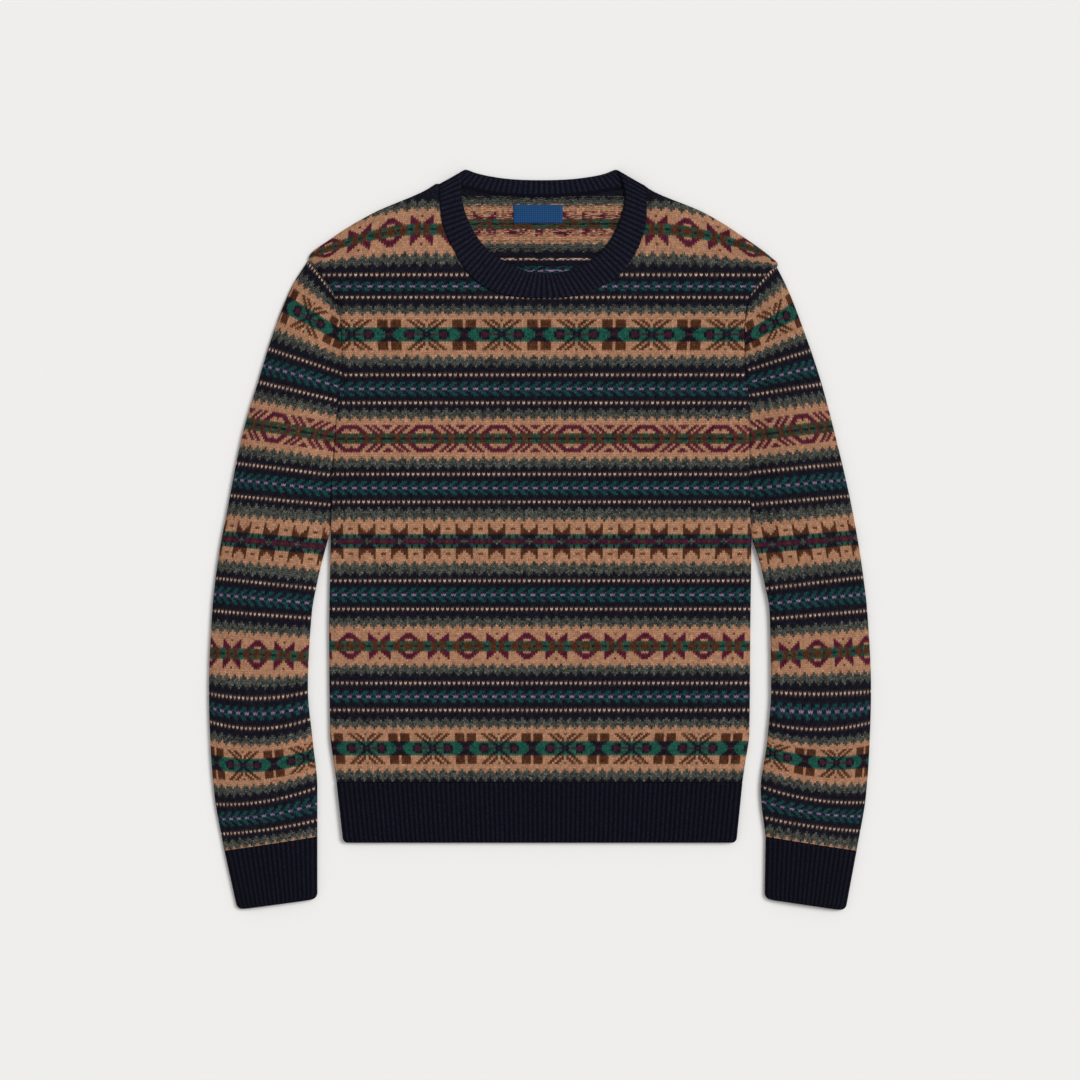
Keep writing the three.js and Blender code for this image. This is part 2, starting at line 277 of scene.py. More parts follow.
def yarnSurface(tree, base, fleck, depth, haze):
    # Woollen-spun yarn: matt, with a short nap that catches light at the edges
    place = addNode(tree, "TexCoord").outputs["Object"]
    tuft = addNode(tree, "TexNoise", inputs={"Vector": place, "Scale": 1000 / wool["fleck"], "Detail": 3.0})
    amount = addNode(tree, "MapRange", {"interpolation_type": "SMOOTHSTEP"},
                     {"Value": tuft.outputs["Fac"], "From Min": 0.46, "From Max": 0.64})
    colour = addNode(tree, "Mix", {"data_type": "RGBA"},
                     {"Factor": amount.outputs["Result"], "A": base, "B": fleck}).outputs["Result"]
    if haze:
        # Fibres raised by milling lie across the stitches next door and blur the joins of colours
        wisps = addNode(tree, "TexNoise",
                        inputs={"Vector": place, "Scale": 1000 / wool["wisp"], "Detail": 3.0})
        share = addNode(tree, "MapRange", inputs={"Value": wisps.outputs["Fac"], "From Min": 0.35,
                                                  "From Max": 0.68, "To Min": 0.06, "To Max": 0.65})
        near = addNode(tree, "Attribute", {"attribute_name": "haze"}).outputs["Color"]
        colour = addNode(tree, "Mix", {"data_type": "RGBA"},
                         {"Factor": share.outputs["Result"], "A": colour, "B": near}).outputs["Result"]

    # The arm of a stitch is highest along its middle, and falls to a gap on each side
    stitch = addNode(tree, "UVMap", {"uv_map": "stitch"}).outputs["UV"]
    across, along, _ = addNode(tree, "SeparateXYZ", inputs={"Vector": stitch}).outputs
    humps = []
    for way, turns in ((across, 2 * math.pi), (along, math.pi)):
        hump = addNode(tree, "Math", {"operation": "MULTIPLY"}, {0: way, 1: turns})
        for step in ("SINE", "ABSOLUTE"):
            hump = addNode(tree, "Math", {"operation": step}, {0: hump.outputs[0]})
        humps.append(hump.outputs[0])
    height = addNode(tree, "Math", {"operation": "MULTIPLY"}, {0: humps[0], 1: humps[1]})
    height = addNode(tree, "Math", {"operation": "POWER"}, {0: height.outputs[0], 1: 0.5})

    fibre = addNode(tree, "TexNoise", inputs={"Vector": place, "Scale": 1000 / wool["fibre"], "Detail": 4.0,
                                              "Roughness": 0.7})
    nap = addNode(tree, "Math", {"operation": "MULTIPLY_ADD"},
                  {0: fibre.outputs["Fac"], 1: 0.5, 2: height.outputs[0]})
    # Painted shade: the gaps between stitches are drawn darker, and the arms a little lighter as a faint
    # painted highlight
    shadow = addNode(tree, "MapRange", inputs={"Value": nap.outputs[0], "From Min": 0.2, "From Max": 1.0,
                                               "To Min": wool["gapShade"], "To Max": 1.08})
    jitter = addNode(tree, "Attribute", {"attribute_name": "shade"})
    shade = addNode(tree, "Math", {"operation": "MULTIPLY"},
                    {0: shadow.outputs["Result"], 1: jitter.outputs["Fac"]})
    tinted = addNode(tree, "VectorMath", {"operation": "SCALE"}, {0: colour, "Scale": shade.outputs[0]})
    bump = addNode(tree, "Bump", inputs={"Height": nap.outputs[0], "Distance": depth / 1000, "Strength": 0.8})
    shader = addNode(tree, "BsdfPrincipled", inputs={
        "Base Color": tinted.outputs[0], "Roughness": 0.95, "Specular IOR Level": 0.05, "IOR": 1.54,
        "Sheen Weight": 0.03, "Sheen Roughness": 0.4, "Sheen Tint": linear("#cfc6c0"),
        "Normal": bump.outputs["Normal"]})
    addNode(tree, "OutputMaterial", inputs={"Surface": shader.outputs[0]})


def makeStrandedLambswool():
    # Stranded knit in eleven heathered yarns, milled so that the stitches are soft and matt
    material, tree = newMaterial("strandedLambswool")
    number = addNode(tree, "Attribute", {"attribute_name": "yarn"}).outputs["Fac"]
    place = addNode(tree, "Math", {"operation": "MULTIPLY_ADD"},
                    {0: number, 1: 1 / rampSteps, 2: 0.5 / rampSteps})
    base, fleck = (stepRamp(tree, colours, place.outputs[0]) for colours in (yarnBase, yarnFleck))
    yarnSurface(tree, base, fleck, wool["stitchDepth"], True)
    return material


def makeNavyLambswool():
    # The same navy yarn in one by one rib, firmer and a little smoother than the stranded knit
    material, tree = newMaterial("navyLambswoolRib")
    yarnSurface(tree, linear("#0e0e18"), linear("#191926"), wool["stitchDepth"] * 0.7, False)
    return material


strandedLambswool = makeStrandedLambswool()
navyLambswool = makeNavyLambswool()


# Meshes from grids of points

weldDistance = 0.000005  # m


def addObject(name, data):
    # An object in the scene's own collection
    added = bpy.data.objects.new(name, data)
    bpy.context.scene.collection.objects.link(added)
    return added


def gridMesh(name, layers, material):
    # Joins grids into one piece. A layer has points, the faces to keep, and values for each face.
    points, faces, uvs, bakes, yarnOf, shadeOf = [], [], [], [], [], []
    count = 0
    for layer in layers:
        place = layer["points"]
        rows, across = place.shape[:2]
        number = np.arange(rows * across).reshape(rows, across)
        corners = np.stack([number[:-1, :-1], number[:-1, 1:], number[1:, 1:], number[1:, :-1]], -1)
        keep = layer.get("keep", np.ones(corners.shape[:2], bool))
        corners = corners[keep]
        used, corners = np.unique(corners, return_inverse=True)
        corners = corners.reshape(-1, 4)
        if layer.get("flip"):
            corners = corners[:, ::-1]
        points.append(place.reshape(-1, 3)[used])
        uvs.append(layer["stitch"].reshape(-1, 2)[used][corners])
        bakes.append(layer["bake"].reshape(-1, 2)[used][corners])
        yarnOf.append(np.broadcast_to(layer.get("yarn", 0), keep.shape)[keep].astype(int))
        shade = np.broadcast_to(layer.get("shade", 1.0), keep.shape)[keep]
        if "stitchShade" in layer:
            shade = shade * layer["stitchShade"][keep]
        shadeOf.append(shade * random.normal(1.0, np.take(unevenness, yarnOf[-1]) * 0.5).clip(0.5, 1.5))
        faces.append(corners + count)
        count += len(used)
    points, faces = np.concatenate(points) / 1000, np.concatenate(faces)
    mesh = bpy.data.meshes.new(name)
    mesh.vertices.add(len(points))
    mesh.vertices.foreach_set("co", points.astype(np.float32).ravel())
    mesh.loops.add(faces.size)
    mesh.loops.foreach_set("vertex_index", faces.astype(np.int32).ravel())
    mesh.polygons.add(len(faces))
    mesh.polygons.foreach_set("loop_start", np.arange(0, faces.size, 4, dtype=np.int32))
    mesh.update(calc_edges=True)
    colours = np.array([linear(colour) for colour in yarnBase])[np.concatenate(yarnOf)]
    near, shared = np.zeros((len(points), 4)), np.zeros((len(points), 1))
    for corner in range(4):
        np.add.at(near, faces[:, corner], colours)
        np.add.at(shared, faces[:, corner], 1)
    haze = mesh.attributes.new("haze", "FLOAT_COLOR", "POINT")
    haze.data.foreach_set("color", (near / shared.clip(1)).astype(np.float32).ravel())
    mesh.polygons.foreach_set("use_smooth", np.ones(len(faces), bool))
    for title, values in (("OFBake", bakes), ("stitch", uvs)):
        places = np.concatenate(values).astype(np.float32).ravel()
        mesh.uv_layers.new(name=title).data.foreach_set("uv", places)
    for title, values in (("yarn", yarnOf), ("shade", shadeOf)):
        attribute = mesh.attributes.new(title, "FLOAT", "FACE")
        attribute.data.foreach_set("value", np.concatenate(values).astype(np.float32))
    welded = bmesh.new()
    welded.from_mesh(mesh)
    bmesh.ops.remove_doubles(welded, verts=welded.verts, dist=weldDistance)
    welded.to_mesh(mesh)
    welded.free()
    mesh.materials.append(material)
    piece = addObject(name, mesh)
    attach(piece, root)
    print("made", name, "with", sum(len(face.vertices) - 2 for face in mesh.polygons), "triangles")
    return piece


def unevenStitches(yarn, stitchOf):
    # One shade for each whole stitch, the same on both of its arms
    shades = random.normal(0, 1, (yarn.shape[0], stitchOf.max() + 1))
    return (1 + np.take(unevenness, yarn) * shades[:, stitchOf]).clip(0.45, 1.7)


def inSquare(places, low, high, part=0, parts=1):
    # Where places in plan lie on the bake's square, side by side in parts, a little in from its border
    low, high = np.array(low), np.array(high)
    spread = (places[..., :2] - low) / (high - low)
    spread = 0.004 + 0.992 * np.clip(spread, 0, 1)
    return np.stack([(part + spread[..., 0]) / parts, spread[..., 1]], -1)


# Body

# The side edges of the front and back, up from the hem join: side seams, armholes, shoulders
bodyEdge = [
    (-245, -205.5, 204.5), (-227, -208, 207), (-195, -212, 211.5), (-91, -213, 212.5), (0, -211.5, 213.5),
    (41.5, -211, 212), (90, -208, 212), (127.5, -205, 212), (151.5, -202, 210.5), (175.5, -200, 207.5),
    (215, -201, 207), (246.5, -207, 212), (266.5, -220.5, 229.5), (279, -229.5, 240.5), (285, -233.5, 234.5),
    (306, -209, 206), (330.5, -168.5, 166.5), (354.5, -114, 111), (361, -104, 102.5),
]
body = {
    # height, and the width of a stitch there
    "stitchWidth": [(-245, 2.35), (-212, 2.385), (-172, 2.43), (-70, 2.5), (38, 2.53), (67, 2.545),
                    (138, 2.6), (167, 2.64), (210, 2.705), (260, 2.69), (314, 2.63), (370, 2.6)],
    # course up from the hem rib, and its height on the front
    "courses": [(0, -245), (16, -210.1), (35, -171.7), (47, -144.4), (65, -107.1), (83, -69.7), (97, -41.1),
                (116, -1.4), (135, 38.4), (149, 66.4), (166, 102.3), (183, 138.4), (197, 166.7), (216, 207.6),
                (235, 245.1), (247, 267.8), (265, 314.1), (283, 351.5), (292, 370)],
    # the back of the neck sits higher than the front's courses do
    "backCourses": [(0, -245), (197, 166.7), (235, 259.5), (247, 283.3), (265, 319), (283, 354), (293, 374)],
    # course, chart, stitch where the chart starts, and which way it runs
    "bands": [(16, "crossAndBlock", -3, "plain"), (41, "smallHerringbone", 1, "plain"),
              (65, "crossAndRing", 7, "plain"), (90, "herringbone", 1, "plain"), (116, "comb", -4, "plain"),
              (142, "herringbone", 2, "plain"), (166, "ovals", -16, "plain"),
              (190, "herringbone", 3, "plain"), (216, "crossAndBlock", 0, "plain"),
              (241, "smallHerringbone", 0, "plain"),
              (265, "crossAndRing", 45, "mirrored"), (292, "plain", 0, "plain")],
    "count": 292,
    "reach": 93,
    "across": -0.35,  # stitches, where the middle column stands
    "foot": 0.775,    # courses, from the foot of a stitch to its middle
    "insideFrom": 219,  # the inside of the back is built from this course up
    "purlBump": 0.45,
    "square": ((-242.0, -246.0), (242.0, 366.0)),  # what the bake's square covers
    # the courses fall towards the shoulder tips
    "shoulderDrop": {"from": 121, "over": 93, "by": 24, "power": 1.7, "low": 265, "high": 331},
}

# The neckband's sewn edge and its free edge, along the front and back of the neck
frontBand = [
    (-100.5, 360, -77.5, 376), (-101, 344.5, -79.5, 352.5), (-99, 322, -75, 329.5), (-87, 293, -64.5, 308),
    (-69.5, 266.5, -49.5, 290.5), (-47.5, 251.5, -29.5, 278), (-21, 245.5, -11, 271), (3, 244.5, 3, 270),
    (27.5, 245.5, 16, 270), (53.5, 252.5, 36.5, 275), (78, 266.5, 57.5, 288), (97, 291, 72.5, 306),
    (106.5, 319, 82.5, 329.5), (107.5, 341.5, 85.5, 351.5), (106, 357.5, 78.5, 376),
]
backBand = [
    (106, 357.5, 78.5, 376), (83, 354.5, 67, 371), (50.5, 349.5, 43.5, 366.3), (3, 346.5, 3, 364),
    (-48.5, 349.5, -42, 366.5), (-77, 355.5, -64, 371), (-100.5, 360, -77.5, 376),
]


def bandRun(table, steps):
    # Sewn and free edge of the neckband, evenly through its table
    rows = np.array(table, float)
    length = np.concatenate([[0], np.cumsum(np.hypot(*np.diff(rows[:, :2] + rows[:, 2:], axis=0).T))])
    at = np.linspace(0, length[-1], steps + 1)
    run = np.stack([hermite(length, side, np.gradient(side, length), at) for side in rows.T], -1)
    return run[:, :2], run[:, 2:]


def bodyOutline(neck):
    heights = np.arange(-245, 361, 2.5)
    left, right = (readOff(bodyEdge, i, heights) for i in (1, 2))
    neck = neck[np.argsort(neck[:, 0])] if neck[0, 0] > neck[-1, 0] else neck
    return np.concatenate([np.stack([left, heights], 1), neck, np.stack([right, heights], 1)[::-1]])


def bodyPlaces(columns, rows, courses):
    # Plan of the body's grid: half stitches across, courses up, each stitch a shallow V
    side, up = np.meshgrid(columns / 2, rows, indexing="xy")
    lift = np.where(np.round(side * 2) % 2 == 1, cloth["chevron"], 0)
    y = readOff(courses, 1, up + lift - body["foot"])
    width = readOff(body["stitchWidth"], 1, y)
    x = (side + body["across"]) * width
    drop = body["shoulderDrop"]
    amount = (np.maximum(np.abs(x) - drop["from"], 0) / drop["over"]) ** drop["power"] * drop["by"]
    return np.stack([x, y - amount * smoothstep(y, drop["low"], drop["high"])], -1)


def trimmed(places, outline):
    # Which points are inside, with those just outside drawn in to the edge
    flat = places.reshape(-1, 2).copy()
    inside = insideOf(outline, flat)
    grid = inside.reshape(places.shape[:2])
    keep = grid[:-1, :-1] | grid[:-1, 1:] | grid[1:, 1:] | grid[1:, :-1]
    near = np.zeros_like(grid)
    for up in (slice(None, -1), slice(1, None)):
        for across in (slice(None, -1), slice(1, None)):
            near[up, across] |= keep
    move = near.ravel() & ~inside
    closed = np.concatenate([outline, outline[:1]])
    flat[move] = nearestOn(closed, flat[move])[0]
    return flat.reshape(places.shape), keep


# Creases: start, end, reach to each side and height. Below zero is a trough.
bodyCreases = [
    (-206, 60, -150, 95, 11, -0.9), (-204, 120, -120, 128, 14, -0.8), (-150, 95, -60, 84, 16, 0.6),
    (208, 70, 150, 108, 12, -0.9), (205, 140, 118, 138, 14, 0.7), (-212, -90, -130, -60, 15, 0.6),
    (212, -110, 140, -70, 16, -0.7), (-70, 225, -30, 120, 18, -0.6), (75, 230, 40, 130, 18, 0.5),
    (-40, -120, 50, -150, 20, 0.5),
]
rightCreases = [
    (-300, 90, -214, 20, 9, -1.0), (-322, -40, -232, -95, 11, 0.9), (-332, -120, -236, -160, 10, -0.9),
    (-330, -215, -232, -245, 9, 0.8), (-262, 215, -206, 150, 9, -0.9),
]
leftCreases = [
    (300, 92, 216, 26, 9, 0.9), (324, -45, 234, -85, 11, -0.9), (334, -130, 236, -150, 10, 0.9),
    (331, -210, 232, -240, 9, -0.8), (264, 210, 208, 160, 9, 0.8),
]


def folded(plan, creases):
    # How far soft creases lift or sink the cloth at each place
    total = np.zeros(plan.shape[:-1])
    for ax, ay, bx, by, reach, height in creases:
        along = np.array([bx - ax, by - ay], float)
        share = ((plan - (ax, ay)) @ along / (along @ along)).clip(0, 1)
        off = np.linalg.norm(plan - (ax, ay) - share[..., None] * along, axis=-1)
        total += height * np.exp(-(off / reach) ** 2) * np.sin(np.pi * (0.15 + 0.7 * share))
    return total


# How the front lies over the back
drape = {
    "rise": 2.0,             # the front's soft rise between its sides
    "riseFrom": (-245, -175),  # heights over which it begins, and over which it ends
    "riseTo": (110, 240),
    "riseReach": 40,
    "sideFold": 9,           # how far in from the side the front folds round
    "neckDip": 0.9,
    "hemDip": 0.7,
    "dipReach": 4,
    "armholeDip": 1.1,
    "armholeReach": 7,
    "armholeFrom": (-10, 40),
    "wave": 0.35,            # the cloth never lies quite flat
}


def frontHeight(plan, neck):
    # Height of the front's outer side, with its side folds and the dips at its seams
    x, y = plan[..., 0], plan[..., 1]
    left, right = (readOff(bodyEdge, i, y) for i in (1, 2))
    inset = np.maximum(np.minimum(x - left, right - x), 0)
    along = smoothstep(y, *drape["riseFrom"]) * (1 - smoothstep(y, *drape["riseTo"]))
    bulge = drape["rise"] * along * smoothstep(inset, 0, drape["riseReach"])
    toEdge = 1 - np.minimum(inset / drape["sideFold"], 1)
    drop = cloth["edgeRounding"] * (1 - np.sqrt(1 - toEdge ** 2))
    offNeck = np.full(x.shape, 50.0)
    close = (y > 230) & (np.abs(x) < 130)
    offNeck[close] = nearestOn(neck, plan[close])[1]
    dip = drape["neckDip"] * (1 - smoothstep(offNeck, 0, drape["dipReach"]))
    dip += drape["hemDip"] * (1 - smoothstep(y - bodyEdge[0][0], 0, drape["dipReach"]))
    # The seams pull the cloth down beside the armholes
    pull = np.exp(-(inset / drape["armholeReach"]) ** 2)
    dip += drape["armholeDip"] * pull * smoothstep(y, *drape["armholeFrom"])
    soft = drape["wave"] * np.sin(x / 31 + 1.3 * np.sin(y / 47)) * np.sin(y / 39 + 0.8)
    soft *= smoothstep(inset, 5, 60)
    return frontTop + bulge - drop - dip + soft + folded(plan, bodyCreases)


def rimLayer(layer, height):
    # A strip from a sheet's edge down to a height, carrying each edge stitch's yarn
    keep = layer["keep"]
    rows, across = keep.shape
    padded = np.zeros((rows + 2, across + 2), bool)
    padded[1:-1, 1:-1] = keep
    parts = {"points": [], "stitch": [], "bake": []}
    yarns = []
    # the two corners of a face on each of its sides, and the face beyond that side
    sides = [((0, 0), (0, 1), (-1, 0)), ((0, 1), (1, 1), (0, 1)),
             ((1, 1), (1, 0), (1, 0)), ((1, 0), (0, 0), (0, -1))]
    for first, second, beyond in sides:
        other = padded[1 + beyond[0]:1 + beyond[0] + rows, 1 + beyond[1]:1 + beyond[1] + across]
        j, i = np.nonzero(keep & ~other)
        for title, found in parts.items():
            a = layer[title][j + first[0], i + first[1]]
            b = layer[title][j + second[0], i + second[1]]
            quad = np.stack([b, a, b, a], 1)
            if title == "points":
                quad[:, 2:, 2] = height
            found.append(quad)
        yarns.append(layer["yarn"][j, i])
    # The quads are loose: each is two rows of two points, and the rows between them are left out
    rim = {title: np.concatenate(found) for title, found in parts.items()}
    rim = {title: quads.reshape(len(quads) * 2, 2, -1) for title, quads in rim.items()}
    count = len(rim["points"]) - 1
    rim["keep"] = (np.arange(count) % 2 == 0)[:, None]
    rim["yarn"] = np.zeros((count, 1))
    rim["yarn"][::2, 0] = np.concatenate(yarns)
    return rim


def sheetLayer(columns, rows, courses, outline, yarn, part=0, parts=1):
    # A flat layer of the body, cut to its outline
    plan, keep = trimmed(bodyPlaces(columns, rows, courses), outline)
    side, up = np.meshgrid(columns / 2, rows, indexing="xy")
    return {"points": np.pad(plan, ((0, 0), (0, 0), (0, 1))), "keep": keep, "yarn": yarn,
            "stitch": np.stack([side, up], -1), "bake": inSquare(plan, *body["square"], part, parts)}


def makeFront(grid):
    sewn, _ = bandRun(frontBand, 60)
    columns, rows = np.arange(-2 * body["reach"] + 2, 2 * body["reach"] - 1), np.arange(body["count"])
    stitchOf = (columns[:-1] + 1) // 2 + body["reach"]
    yarn = grid[:-1, stitchOf]
    top = sheetLayer(columns, rows, body["courses"], bodyOutline(sewn), yarn)
    top["points"][..., 2] = frontHeight(top["points"][..., :2], sewn)
    top["stitchShade"] = unevenStitches(yarn, stitchOf)
    return gridMesh("front_knit", [top, rimLayer(top, frontFloor)], strandedLambswool)


def makeBack(grid):
    sewn, _ = bandRun(backBand, 40)
    outline, courses = bodyOutline(sewn[::-1]), body["backCourses"]
    columns, rows = np.arange(-2 * body["reach"] + 3, 2 * body["reach"] - 2, 2), np.arange(body["count"])
    stitchOf = (columns[:-1] + 1) // 2 + body["reach"]
    outside = sheetLayer(columns, rows, courses, outline, grid[:-1, stitchOf], 0, 2)
    outside["points"][..., 2] = cloth["floor"]
    outside["flip"] = True
    # The inside is purl: each course is a row of bumps, with the floats lying over them
    fine = np.arange(2 * body["insideFrom"], 2 * body["count"] - 1)
    behind = wrongSide(grid)[fine[:-1]][:, stitchOf]
    inside = sheetLayer(columns, fine / 2, courses, outline, behind, 1, 2)
    bumps = np.where(np.arange(len(fine)) % 2 == 1, body["purlBump"], 0)[:, None]
    inside["points"][..., 2] = cloth["wall"] + bumps
    inside["stitchShade"] = random.normal(0.95, 0.2, behind.shape).clip(0.5, 1.4)
    return gridMesh("back_knit", [outside, rimLayer(outside, cloth["wall"]), inside], strandedLambswool)


# Sleeves

# The folds of each sleeve, height and side: the outer one whole, the inner one up to the underarm
armEdges = {
    "right": {
        "outer": [(-314, -319), (-257.5, -329), (-207, -333), (-151.5, -334.5), (-76, -331.5), (-25, -326),
                  (35.5, -315), (105, -301), (159.5, -285), (212, -268.5), (256.5, -250.5), (287, -231.5)],
        "inner": [(-299.5, -225), (-249.5, -225), (-204, -229.5), (-149.5, -234.5), (-73.5, -230.5),
                  (-42.5, -225), (-21, -220), (-11, -217.3), (-3.5, -215.3), (5, -213.3), (14, -211.7),
                  (22, -211.2)],
    },
    "left": {
        "outer": [(-314, 320), (-257.5, 329.5), (-207, 333), (-151.5, 334.5), (-76, 331), (-28.5, 325.5),
                  (35.5, 314.5), (103, 299), (161.5, 283.5), (212, 266.5), (254.5, 250), (279.5, 237.5)],
        "inner": [(-299.5, 228), (-252.5, 223), (-204, 229.5), (-149.5, 233.5), (-72.5, 232),
                  (-45.5, 227.2), (-28.5, 223.5), (-19, 221), (-13, 219), (-7, 217), (-1, 215), (6, 213.7),
                  (14, 213.2)],
    },
}
# Courses up from the cuff: course, height at the outer fold, at the inner one, and the sag between
armCourses = {
    "right": [(0, -314, -299.5, 0), (8, -297, -283, 2), (22, -267, -250, 5), (41, -224, -217, 6.5),
              (60, -183.5, -181, 8), (72, -155, -153.5, 5.5), (90, -114, -118, -0.5), (108, -71.5, -79, 0),
              (122, -38.5, -49, 0), (141, 1.5, -7, 0), (160, 45, 35.5, 0), (174, 77.5, 65.5, 0),
              (191, 118, 104, 0), (208, 159.5, 140.5, 0), (222, 193, 168.5, 0), (241, 239, 206.5, 0),
              (261, 283, 246.5, -1)],
    "left": [(0, -314, -299.5, 0), (8, -294, -280, 2), (22, -265, -249, 5), (41, -222, -213.5, 6.5),
             (60, -184.5, -185.5, 6), (72, -153, -153.5, 2), (90, -111, -117.5, 0), (108, -71.5, -79.5, 0),
             (122, -37.5, -49, 0), (141, 2.5, -6, 0), (160, 44.5, 35.5, 0), (174, 77, 68, 0),
             (191, 115, 105, 0), (208, 157.5, 146, 0), (222, 191.5, 171, 0), (241, 232, 203, 0),
             (261, 279, 248, -1)],
}
arm = {
    "foldStitch": 1.6,    # mm, stitches are this narrow to the eye at the outer fold
    "stitch": {"right": 2.32, "left": 2.38},  # mm, and this wide on the flat
    "crest": 1.4,         # above one, the sleeve is highest nearer its inner side
    "foldReach": 12,      # stitches over which the fold turns flat
    "count": 263,
    "reach": 52,
    "heights": [(0, 7.4), (22, 8), (41, 8.6), (72, 9), (141, 9), (191, 9), (222, 8), (241, 6.8), (260, 5.6)],
    "tuck": {"right": 2.6, "left": 0.9},  # mm, how deep the sleeve dips beside the body
    "tuckFrom": (-15, 25),
    "tuckTo": (90, 215),
    "tuckReach": 13,
    "dip": 0.7,           # share of its height that the sleeve loses at the armhole seam
    "dipReach": 26,
    "trough": (1.5, 12, 8),  # mm: depth, distance from the seam and reach
    "underarm": (-34, 20),  # the inner edge turns from a fold into the armhole seam over these heights
    "charts": [(-9, "ovals"), (15, "herringbone"), (41, "crossAndBlock"), (66, "smallHerringbone"),
               (90, "crossAndRing"), (115, "herringbone"), (141, "comb"), (167, "herringbone"),
               (191, "ovals"), (215, "herringbone"), (241, "crossAndBlock")],
    # the stitch, counted from the outer fold, where each of those charts starts
    "right": (10, 3, 3, 3, 12, 0, 11, 1, 16, 0, 1),
    "left": (10, 3, 3, 2, 14, 1, 1, 1, 15, 3, 27),
}


def dome(across):
    return np.sqrt(np.clip(1 - np.abs(2 * across - 1) ** 3, 0, 1))


def armRows(side, rows):
    # Outer end, inner end and sag of each course
    table, edges = armCourses[side], armEdges[side]
    outerY, innerY, sag = [readOff(table, i, rows) for i in (1, 2, 3)]
    outerX = readOff(edges["outer"], 1, outerY)
    innerX = readOff(edges["inner"], 1, innerY)
    seamX = readOff(bodyEdge, 1 if side == "right" else 2, innerY)
    seamed = innerY > edges["inner"][-1][0]
    outward = -1 if side == "right" else 1
    return outerX, outerY, np.where(seamed, seamX + outward * 0.2, innerX), innerY, sag


def makeSleeve(name, side, creases):
    rows = np.arange(arm["count"])
    columns = np.arange(0, 2 * arm["reach"] + 1)
    across, up = np.meshgrid(columns / 2, rows.astype(float), indexing="xy")
    lift = up + np.where(columns % 2 == 1, cloth["chevron"], 0)[None, :] - body["foot"]
    outerX, outerY, innerX, innerY, sag = armRows(side, lift.clip(0, armCourses[side][-1][0]))
    length = np.hypot(innerX - outerX, innerY - outerY)
    narrow = (arm["stitch"][side] - arm["foldStitch"]) * arm["foldReach"]
    along = arm["stitch"][side] * across - narrow * (1 - np.exp(-across / arm["foldReach"]))
    share = np.minimum(along / length, 1)
    height = readOff(arm["heights"], 1, lift)
    fold = height * cloth["foldAt"]
    seamed = smoothstep(innerY, *arm["underarm"])
    inner = mix(fold, frontTop - cloth["edgeRounding"], seamed)

    def at(part):
        bow = 4 * part * (1 - part) * sag
        return np.stack([mix(outerX, innerX, part), mix(outerY, innerY, part) - bow], -1)

    edge = np.where(share < 0.5, fold, inner)
    plan = at(share)
    top = mix(edge, height, dome(share ** arm["crest"]))
    # The sleeve slopes down softly to a trough beside the seam that joins it to the body
    offSeam = (1 - share) * length
    top -= (height - inner) * arm["dip"] * seamed * dome(share) * np.exp(-(offSeam / arm["dipReach"]) ** 2)
    depth, away, reach = arm["trough"]
    top -= depth * seamed * np.exp(-((offSeam - away) / reach) ** 2)
    # and it tucks in under the body's edge at the foot of the armhole
    tucked = smoothstep(innerY, *arm["tuckFrom"]) * (1 - smoothstep(innerY, *arm["tuckTo"]))
    top -= arm["tuck"][side] * tucked * np.exp(-(offSeam / arm["tuckReach"]) ** 2)
    top += folded(plan, creases) * dome(share)
    top = np.concatenate([plan, top[..., None]], -1)
    within = share < 0.999  # past the inner edge a stitch has no width left
    keep = within[:-1, :-1] & within[1:, :-1]
    turn = height * cloth["foldIn"] / length
    under = at(turn + (1 - turn * (2 - seamed)) * share)
    under = np.concatenate([under, np.full(share.shape + (1,), cloth["floor"])], -1)

    way = "plain" if side == "right" else "turned"
    bands = [(course, chart, start, way) for (course, chart), start in zip(arm["charts"], arm[side])]
    grid = chartGrid(bands, arm["count"], arm["reach"])
    stitchOf = (columns[:-1] + 1) // 2 + arm["reach"]
    yarn = grid[:-1][:, stitchOf]
    low, high = top[..., :2].min((0, 1)), top[..., :2].max((0, 1))
    stitch = np.stack([across, up], -1)

    def shell(points, part, yarn, **more):
        return {"points": points, "yarn": yarn, "stitch": stitch[:, :points.shape[1]],
                "bake": inSquare(points, low, high, part, 2), "flip": side == "left", **more}

    # The outer fold goes round in two steps, and the inner edge in one
    first, last = top[:, 0], under[:, 0]
    middle = first * 0.8 + last * 0.2
    middle[:, 2] = first[:, 2] * cloth["foldIn"]
    return gridMesh(name, [
        shell(top, 0, yarn, keep=keep, stitchShade=unevenStitches(yarn, stitchOf)),
        shell(under, 1, yarn, keep=keep, flip=side == "right"),
        shell(np.stack([last, middle, first], 1), 0, yarn[:, :1]),
        shell(np.stack([top[:, -1], under[:, -1]], 1), 0, yarn[:, :1]),
    ], strandedLambswool)


# Ribs

rib = {
    "raise": 0.6,
    "perRib": 6,     # points across one rib
    "course": 1.95,  # mm, height of a stitch along the rib
    # painted shade in the sunk wales and painted highlight on the ridges, as shares of the yarn's colour
    "paintedShade": 0.45,
    "light": 1.35,
    "seamDip": 0.5,  # where a rib is sewn on, over the courses below
    "dipOver": 1.5,
}


def roundCorner(distance, radius):
    # How far a rounded corner stands in from the side, at a distance from the end
    return radius - np.sqrt(radius ** 2 - (radius - np.clip(distance, 0, radius)) ** 2)


def ridge(across):
    # One knit wale standing up and one purl wale sunk, for each rib
    return np.clip(0.5 + 0.75 * np.cos(2 * np.pi * across), 0, 1) ** 0.8


def bumpAlong(course):
    return 0.82 + 0.18 * np.abs(np.sin(np.pi * course))


